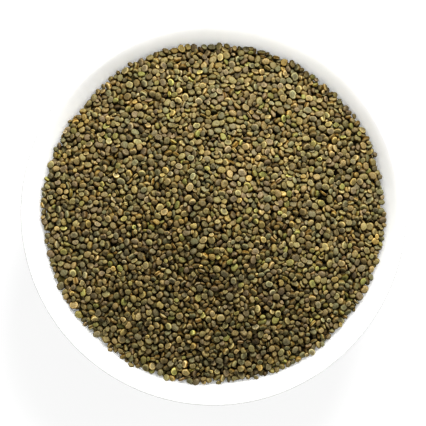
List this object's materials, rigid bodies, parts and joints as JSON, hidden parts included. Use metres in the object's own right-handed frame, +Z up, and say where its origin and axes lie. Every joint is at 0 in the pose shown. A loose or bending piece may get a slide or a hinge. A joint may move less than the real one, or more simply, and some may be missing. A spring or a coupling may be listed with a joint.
{
  "type": "dish of milkvetch seeds",
  "caption": "Round white porcelain dish on a low foot ring, heaped with small flattened olive-brown seeds in a shallow cone that stops just under the rounded lip.",
  "frame": {"origin": "on the table under the middle of the dish's rim, in the plane the foot ring rests on", "axes": "+Z up through the middle of the dish; +Y is the top of the picture, +X its right"},
  "size_m": [0.114, 0.114, 0.0475],
  "materials": {
    "porcelain": "clear glossy glaze over white porcelain",
    "seeds": "dry seed coats, olive-brown with a faint satin sheen"
  },
  "bodies": {
    "root": {"dish": "porcelain", "seed_heap": "seeds"}
  },
  "joints": []
}
